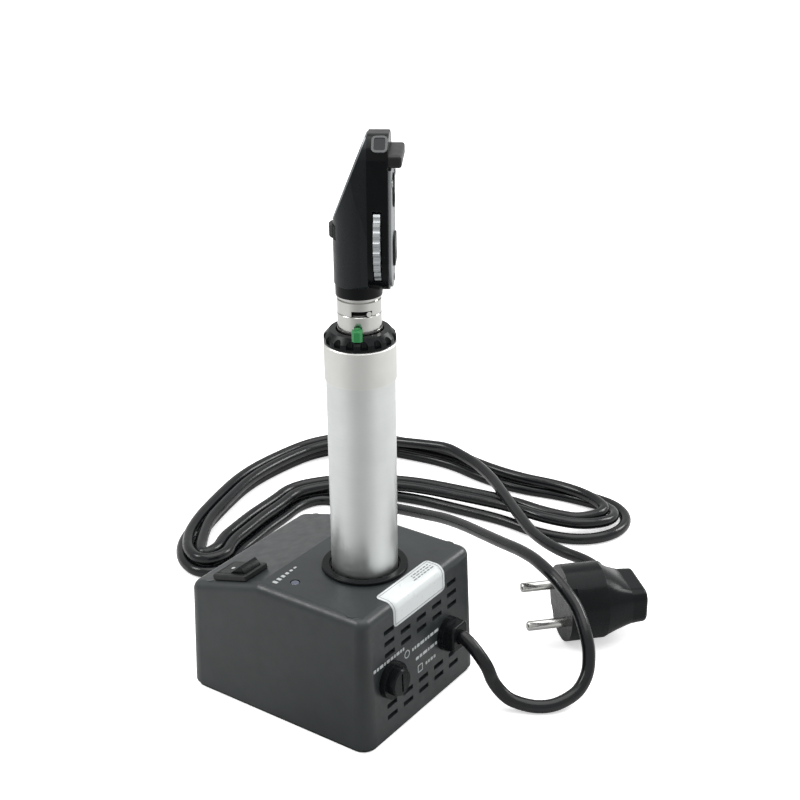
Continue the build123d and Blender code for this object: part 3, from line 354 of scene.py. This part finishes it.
def slab(mesh_data, outline, where, low, high):
    """Adds a closed prism over an outline in mm, between two heights in mm above a surface."""
    rings = []
    for height in (low, high):
        rings.append([mesh_data.verts.new(where @ (Vector((x, y, height)) * MM)) for x, y in outline])
    mesh_data.faces.new(reversed(rings[0]))
    mesh_data.faces.new(rings[1])
    count = len(outline)
    for i in range(count):
        j = (i + 1) % count
        mesh_data.faces.new((rings[0][i], rings[0][j], rings[1][j], rings[1][i]))


def ring_outline(radius, steps=28):
    """Outline of a circle about the origin, counter-clockwise."""
    return [
        (radius * math.cos(2 * math.pi * step / steps), radius * math.sin(2 * math.pi * step / steps))
        for step in range(steps)
    ]


def frame_slab(mesh_data, outer, inner, where, low, high):
    """Adds a closed picture-frame prism between two outlines with the same number of points."""
    rings = []
    for outline, height in ((outer, low), (outer, high), (inner, high), (inner, low)):
        rings.append([mesh_data.verts.new(where @ (Vector((x, y, height)) * MM)) for x, y in outline])
    count = len(outer)
    for k in range(4):
        here, there = rings[k], rings[(k + 1) % 4]
        for i in range(count):
            j = (i + 1) % count
            mesh_data.faces.new((here[i], here[j], there[j], there[i]))


def greeked_line(mesh_data, rng, start, end, row, height, where):
    """A printed line whose words are plain rounded blocks, from start to end along x, in mm."""
    word_min, word_max, word_gap, corner_r = 1.0, 3.4, 0.7, 0.25
    least_rest = 0.8
    x = start
    while x < end - least_rest:
        width = min(rng.uniform(word_min, word_max), end - x)
        block = shifted(rounded_box(width, height, corner_r, 2), x + width / 2, row)
        slab(mesh_data, block, where, PRINT_SINK, PRINT_LIFT)
        x += width + word_gap


# ---------------------------------------------------------------------------------------------
# Base: label, printing on the rear panel and the top, mark of the rocker
# ---------------------------------------------------------------------------------------------
# Run of the label, mm: along the flat top, round the crown of radius crown_r, then down the rear
# panel, which leans by the draft angle
base_top = base_high.z / MM
crown_r = 4.5
draft = math.asin(rear_normal.z)
crown_run = crown_r * math.tan(math.radians(45) - draft / 2)
crown_turn = math.radians(90) - draft
rear_top_y = fuse_spot.y / MM + (fuse_spot.z / MM - base_top) * math.tan(draft)
flat_start = label_low.y / MM
flat_run = rear_top_y - crown_run - flat_start
arc_run = crown_r * crown_turn
drop_run = (base_top - label_low.z / MM) / math.cos(draft) - crown_run
label_run = flat_run + arc_run + drop_run


def skin_point(x, along, lift):
    """Point over the top, the crown and the rear panel, `along` mm from the label's front edge."""
    if along <= flat_run:
        spot, normal = (flat_start + along, base_top), (0, 1)
    else:
        angle = min((along - flat_run) / crown_r, crown_turn)
        rest = max(along - flat_run - arc_run, 0)
        normal = (math.sin(angle), math.cos(angle))
        spot = (flat_start + flat_run + crown_r * math.sin(angle) + rest * normal[1],
                base_top - crown_r * (1 - math.cos(angle)) - rest * normal[0])
    return Vector((x, spot[0] + normal[0] * lift, spot[1] + normal[1] * lift)) * MM


def foil(mesh_data, x_low, x_high, start, end, lift, thick, radius):
    """Adds a thin closed sheet that follows the skin, with rounded corners."""
    least_rows, rows_per_mm, columns = 4, 3, 10
    rows = max(least_rows, int((end - start) * rows_per_mm))
    grids = []
    for height in (lift, lift + thick):
        grid = []
        for i in range(rows + 1):
            along = start + (end - start) * i / rows
            edge = max(0.0, radius - min(along - start, end - along))
            pull = radius - math.sqrt(max(0.0, radius**2 - edge**2))
            grid.append([
                mesh_data.verts.new(skin_point(
                    x_low + pull + (x_high - x_low - 2 * pull) * j / columns, along, height))
                for j in range(columns + 1)
            ])
        grids.append(grid)
    below, above = grids
    for i in range(rows):
        for j in range(columns):
            mesh_data.faces.new((above[i][j], above[i + 1][j], above[i + 1][j + 1], above[i][j + 1]))
            mesh_data.faces.new((below[i][j], below[i][j + 1], below[i + 1][j + 1], below[i + 1][j]))
    rim = [(i, 0) for i in range(rows)] + [(rows, j) for j in range(columns)]
    rim += [(i, columns) for i in range(rows, 0, -1)] + [(0, j) for j in range(columns, 0, -1)]
    for (i, j), (k, m) in zip(rim, rim[1:] + rim[:1]):
        mesh_data.faces.new((below[i][j], below[k][m], above[k][m], above[i][j]))


def make_label():
    """Blank glossy label with an inset border and a few greeked lines."""
    x_low, x_high = label_low.x / MM, label_high.x / MM
    sheet_lift, sheet_thick, sheet_r = 0.03, 0.1, 2.2
    sheet = bmesh.new()
    foil(sheet, x_low, x_high, 0, label_run, sheet_lift, sheet_thick, sheet_r)
    label = add_piece(
        "label_sheet", sheet, "base", finishes["label_paper"], smooth=True
    )
    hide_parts("rating_label")

    # Border: outer and inner edge of its lines, mm from the label's sides and from its ends
    side_out, side_in = 1.2, 1.5
    end_out, end_in = 1.1, 1.4
    ink_lift, ink_thick, border_r = 0.13, 0.03, 0.01
    print_work = bmesh.new()
    for low, high, start, end in (
        (x_low + side_out, x_high - side_out, end_out, end_in),
        (x_low + side_out, x_high - side_out, label_run - end_in, label_run - end_out),
        (x_low + side_out, x_low + side_in, end_in, label_run - end_in),
        (x_high - side_in, x_high - side_out, end_in, label_run - end_in),
    ):
        foil(print_work, low, high, start, end, ink_lift, ink_thick, border_r)

    # Greeked lines: where they start and end across the label, then the first row and the pitch
    text_from, text_to = 3, 17
    row_from, row_to, row_pitch, row_count = 2.6, 3.3, 1.5, 3
    word_min, word_max, word_gap, word_r = 1.0, 2.8, 0.6, 0.2
    rng = random.Random(3)
    for row in range(row_count):
        start, end = row_from + row_pitch * row, row_to + row_pitch * row
        x = x_low + text_from
        while x < x_low + text_to:
            width = rng.uniform(word_min, word_max)
            foil(print_work, x, x + width, start, end, ink_lift, ink_thick, word_r)
            x += width + word_gap
    add_piece("label_print", print_work, "base", print_grey, smooth=True)


def make_rear_print():
    """Greeked lines and two generic outline symbols on the rear panel."""
    foot = Vector((0, fuse_spot.y + fuse_spot.z * math.tan(draft), 0))
    where = plane(foot, (-1, 0, 0), rear_normal)
    work = bmesh.new()
    rng = random.Random(7)
    line_height = 1.5
    # Each line: start and end from the middle of the panel, then its middle up the panel, mm
    for start, end, row in ((-37, -14, 39.5), (-8, 14, 35.6), (-5.5, 12, 29.4), (2, 10, 23.3)):
        greeked_line(work, rng, start, end, row, line_height, where)
    circle_spot, square_spot = (-12, 35.6), (-2.3, 23.3)
    for outer, inner, spot in (
        (ring_outline(2.0), ring_outline(1.55), circle_spot),
        (rounded_box(3.8, 3.8, 0.5), rounded_box(3.0, 3.0, 0.3), square_spot),
    ):
        frame_slab(work, shifted(outer, *spot), shifted(inner, *spot), where, PRINT_SINK, PRINT_LIFT)
    add_piece("rear_print", work, "base", print_white)


def make_lamp_print():
    """Rising level bars beside the charge lamp, for the state of charge."""
    work = bmesh.new()
    where = plane(Vector((0, 0, base_high.z)), (1, 0, 0), up)
    bar_count, bar_width, corner_r = 6, 1.7, 0.3
    shortest, growth = 1.0, 0.32
    first_x, pitch, foot_y = 20, 3.0, -5.6
    for k in range(bar_count):
        length = shortest + growth * k
        bar = rounded_box(bar_width, length, corner_r, 3)
        slab(work, shifted(bar, first_x + pitch * k, foot_y + length / 2), where, PRINT_SINK, PRINT_LIFT)
    add_piece("lamp_print", work, "base", print_white)


def make_rocker_mark():
    """White dot on the front half of the rocker, where a ray from above meets it."""
    dot_r, dot_lift, ray_rise = 0.9, 0.06, 10
    low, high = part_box("switch_rocker")
    rocker = frame["nodes"]["switch_rocker"]
    start = Vector((rocker_spot.x, (low.y + rocker_spot.y) / 2, high.z + ray_rise * MM))
    inverse = rocker.matrix_world.inverted()
    down = (inverse.to_3x3() @ -up).normalized()
    hit, place, normal = rocker.ray_cast(inverse @ start, down)[:3]
    if hit:
        spot = rocker.matrix_world @ place
        facing = (rocker.matrix_world.to_3x3() @ normal).normalized()
        work = bmesh.new()
        where = plane(spot, (1, 0, 0), facing)
        slab(work, ring_outline(dot_r), where, PRINT_SINK, dot_lift)
        add_piece("rocker_mark", work, "rocker", print_white)


make_label()
make_rear_print()
make_lamp_print()
make_rocker_mark()


# ---------------------------------------------------------------------------------------------
# Handle and head: serrated ring, painted shade in the bayonet slot, black collar, shoulder window, rim of the
# slanting front
# ---------------------------------------------------------------------------------------------
def make_serrated_ring():
    """Knurled collar between the neck and the rheostat ring; radii and heights in mm."""
    teeth = 54
    crest_r, root_r, bore_r = 9.61, 9.5, 9.4
    ring_low, ring_high = 177.9, 180.9
    where = plane(head_point(0, 0, 0), lateral, up)
    crest = []
    for k in range(teeth):
        for offset, radius in ((0.0, root_r), (0.25, crest_r), (0.6, crest_r), (0.85, root_r)):
            angle = 2 * math.pi * (k + offset) / teeth
            crest.append((radius * math.cos(angle), radius * math.sin(angle)))
    inner = [(x * bore_r / math.hypot(x, y), y * bore_r / math.hypot(x, y)) for x, y in crest]
    work = bmesh.new()
    frame_slab(work, crest, inner, where, ring_low, ring_high)
    add_piece("neck_serrations", work, "handle", finishes["bright_nickel"])


def make_slot_shade_and_collar():
    """Thin black sheet of painted shade on the spigot inside the bayonet slot, and the gloss black collar under
    the head.
    """
    where = plane(head_point(0, 0, 0), lateral, up)
    steps = 96
    # Each piece: name, outer and inner radius, bottom and top in mm, then its body and its finish
    for name, outer, inner, low, high, body, finish in (
        # The spigot piece is painted shade: a thin black sheet where the slot is in shadow. The collar is the
        # head's own black part
        ("spigot_painted_shade", 7.44, 7.38, 187.95, 193.0, "handle", socket_shade),
        ("head_collar_sleeve", 9.99, 9.86, 195.62, 200.9, "head", head_black),
    ):
        work = bmesh.new()
        frame_slab(work, ring_outline(outer, steps), ring_outline(inner, steps), where, low, high)
        add_piece(name, work, body, finish)


def make_shoulder_window():
    """Small dark pane in a raised rounded frame on the near shoulder of the head."""
    side, u, z = 9.75, 10.2, 260.85
    where = plane(head_point(side, u, z), forward, lateral + up)
    frame_outer = rounded_box(6.4, 7.6, 1.8, 8)
    frame_inner = rounded_box(4.6, 5.8, 1.0, 8)
    pane_outline = rounded_box(4.62, 5.82, 1.0, 8)
    rim = bmesh.new()
    frame_slab(rim, frame_outer, frame_inner, where, -0.9, 0.5)
    add_piece("shoulder_frame", rim, "head", frame_gloss)
    pane = bmesh.new()
    slab(pane, pane_outline, where, -0.8, 0.22)
    add_piece("shoulder_pane", pane, "head", dark_glass)


# Slanting front of the head, mm: foot, rise and run, then the nose, sides and shoulders of the cover
slant_foot_u, slant_foot_z = -9.8, 228.0
slant_run, slant_rise = 14.8, 35.9
nose_r, nose_centre_u = 13.23, 2.83
belly_z, shoulder_z = 213.0, 253.9
shoulder_centre, cover_shoulder_r = 2.8, 9.3
cover_half, cover_taper = 14.3, 2.2


def slant_half(height):
    """Half-width of the slanting front at a height in mm: nose curve, tapered sides, round shoulders."""
    u = slant_foot_u + (height - slant_foot_z) * slant_run / slant_rise
    nose = nose_r if u > nose_centre_u else math.sqrt(max(0.0, nose_r**2 - (u - nose_centre_u) ** 2))
    if height < shoulder_z:
        side = cover_half - cover_taper * (height - belly_z) / (shoulder_z - belly_z)
    else:
        rise = height - shoulder_z
        side = shoulder_centre + math.sqrt(max(0.0, cover_shoulder_r**2 - rise**2))
    return min(nose, side)


def make_front_rim():
    """Light rim plate that lines the edge of the slanting front."""
    # Rise from its lowest to its highest point, gap to the cover's edge, width and thickness, mm
    rim_from, rim_rise, steps = 0.6, 34.0, 40
    edge_gap, rim_width, side_share = 0.35, 1.25, 1.2
    rim_sink, rim_lift = -0.2, 0.45
    foot = head_point(0, slant_foot_u, slant_foot_z)
    where = plane(foot, lateral, up * slant_run - forward * slant_rise)
    steep = slant_rise / math.hypot(slant_run, slant_rise)
    heights = [
        rim_from + rim_rise * (1 - math.cos(math.pi * k / steps)) / 2 for k in range(steps + 1)
    ]
    right = [(slant_half(slant_foot_z + z) - edge_gap, z / steep) for z in heights]
    outer = right + [(-x, y) for x, y in reversed(right)]
    middle = rim_rise / 2 / steep
    inner = []
    for x, y in outer:
        pull = rim_width / max(math.hypot(x, y - middle), 1e-6)
        inner.append((x * (1 - pull * side_share), middle + (y - middle) * (1 - pull)))
    work = bmesh.new()
    frame_slab(work, outer, inner, where, rim_sink, rim_lift)
    add_piece("front_rim", work, "head", rim_plate)


make_serrated_ring()
make_slot_shade_and_collar()
make_shoulder_window()
make_front_rim()


# ---------------------------------------------------------------------------------------------
# Stage, light and camera
# ---------------------------------------------------------------------------------------------
def make_floor():
    """Plain pale floor, far wider than the picture.

    The camera sees it almost white. Other rays see it darker, and darkest on the camera's side, so
    that the object's sides are not washed out by light from below.
    """
    half = 6.0
    cloth_mm = 300
    cloth_dark, cloth_light = (0.91, 0.91, 0.91), (0.93, 0.93, 0.93)
    bounce_far, bounce_near = (0.66, 0.66, 0.66), (0.40, 0.40, 0.40)
    camera_side, near_from, near_full = (0.82, 0.57, 0), 0.6, 1.0
    glow = 0.5
    mesh_data = bmesh.new()
    square = ((-half, -half), (half, -half), (half, half), (-half, half))
    corners = [mesh_data.verts.new((x, y, 0)) for x, y in square]
    mesh_data.faces.new(corners)
    data = bpy.data.meshes.new("Floor")
    mesh_data.to_mesh(data)
    mesh_data.free()
    floor = bpy.data.objects.new("Floor", data)
    bpy.context.scene.collection.objects.link(floor)
    surface = Shader("Pale_Floor", (0.9, 0.9, 0.9), 0.7)
    seen = surface.node("ShaderNodeLightPath").outputs["Is Camera Ray"]
    cloth = surface.blend(surface.noise(cloth_mm), cloth_dark, cloth_light)
    outward = surface.node("ShaderNodeVectorMath")
    outward.operation = "NORMALIZE"
    surface.feed(outward.inputs[0], surface.coordinates)
    facing = surface.node("ShaderNodeVectorMath")
    facing.operation = "DOT_PRODUCT"
    surface.feed(facing.inputs[0], outward.outputs[0])
    facing.inputs[1].default_value = camera_side
    near = surface.remap(facing.outputs["Value"], near_from, near_full)
    bounce = surface.blend(near, bounce_far, bounce_near)
    surface.set("Base Color", surface.blend(seen, bounce, cloth))
    surface.set("Specular IOR Level", 0.0)
    surface.set("Emission Color", (1, 1, 1, 1))
    surface.set("Emission Strength", surface.remap(seen, 0, 1, 0.0, glow))
    data.materials.append(surface.material)


def add_area_light(name, spot, target, size, power):
    """Adds a rectangular soft box at spot, in metres, turned towards target, in watts."""
    lamp = bpy.data.lights.new(name, "AREA")
    lamp.shape = "RECTANGLE"
    lamp.size, lamp.size_y = size
    lamp.energy = power
    made = bpy.data.objects.new(name, lamp)
    bpy.context.scene.collection.objects.link(made)
    made.location = spot
    made.rotation_euler = (Vector(target) - Vector(spot)).to_track_quat("-Z", "Y").to_euler()


def make_camera():
    """Camera at the photograph's angle: it looks from behind and to the right of the base, from above."""
    spot_mm = (466.99, 369.74, 399.97)
    azimuth = math.radians(125.242)
    elevation = math.radians(23.475)
    roll = math.radians(-0.571)
    back = Vector((math.sin(azimuth) * math.cos(elevation),
                   -math.cos(azimuth) * math.cos(elevation),
                   math.sin(elevation)))
    right = Vector((math.cos(azimuth), math.sin(azimuth), 0))
    top = back.cross(right)
    turned_right = right * math.cos(roll) + top * math.sin(roll)
    turned_top = top * math.cos(roll) - right * math.sin(roll)
    lens_data = bpy.data.cameras.new("Camera")
    lens_data.sensor_width = 36.0
    lens_data.lens = 66.36
    lens_data.clip_start = 0.05
    lens_data.clip_end = 30.0
    camera = bpy.data.objects.new("Camera", lens_data)
    bpy.context.scene.collection.objects.link(camera)
    turn = Matrix((turned_right, turned_top, back)).transposed().to_4x4()
    camera.matrix_world = Matrix.Translation(Vector(spot_mm) * MM) @ turn
    bpy.context.scene.camera = camera


def make_light():
    """White surroundings, one large soft box above and two small ones for the rounded tops.

    The surroundings are brighter to the camera than they are as a light.
    """
    light_strength, seen_strength = 0.75, 1.1
    large_box, small_box = (1.6, 1.6), (0.45, 0.45)
    middle = (0, 0, 0.12)
    world = bpy.data.worlds.new("Studio")
    world.use_nodes = True
    world.node_tree.nodes["Background"].inputs["Color"].default_value = (1, 1, 1, 1)
    seen = world.node_tree.nodes.new("ShaderNodeLightPath")
    strength = world.node_tree.nodes.new("ShaderNodeMapRange")
    strength.inputs["To Min"].default_value = light_strength
    strength.inputs["To Max"].default_value = seen_strength
    world.node_tree.links.new(seen.outputs["Is Camera Ray"], strength.inputs["Value"])
    world.node_tree.links.new(
        strength.outputs[0], world.node_tree.nodes["Background"].inputs["Strength"]
    )
    bpy.context.scene.world = world
    add_area_light("Top_Box", (-0.2, 0.1, 1.5), middle, large_box, 18)
    add_area_light("Crown_Box", (0.56, -0.74, 1.05), middle, small_box, 7)
    add_area_light("Rear_Crown_Box", (-1.05, 0.56, 0.78), middle, small_box, 7)
    bpy.context.scene.view_settings.view_transform = "Standard"


make_floor()
make_light()
make_camera()
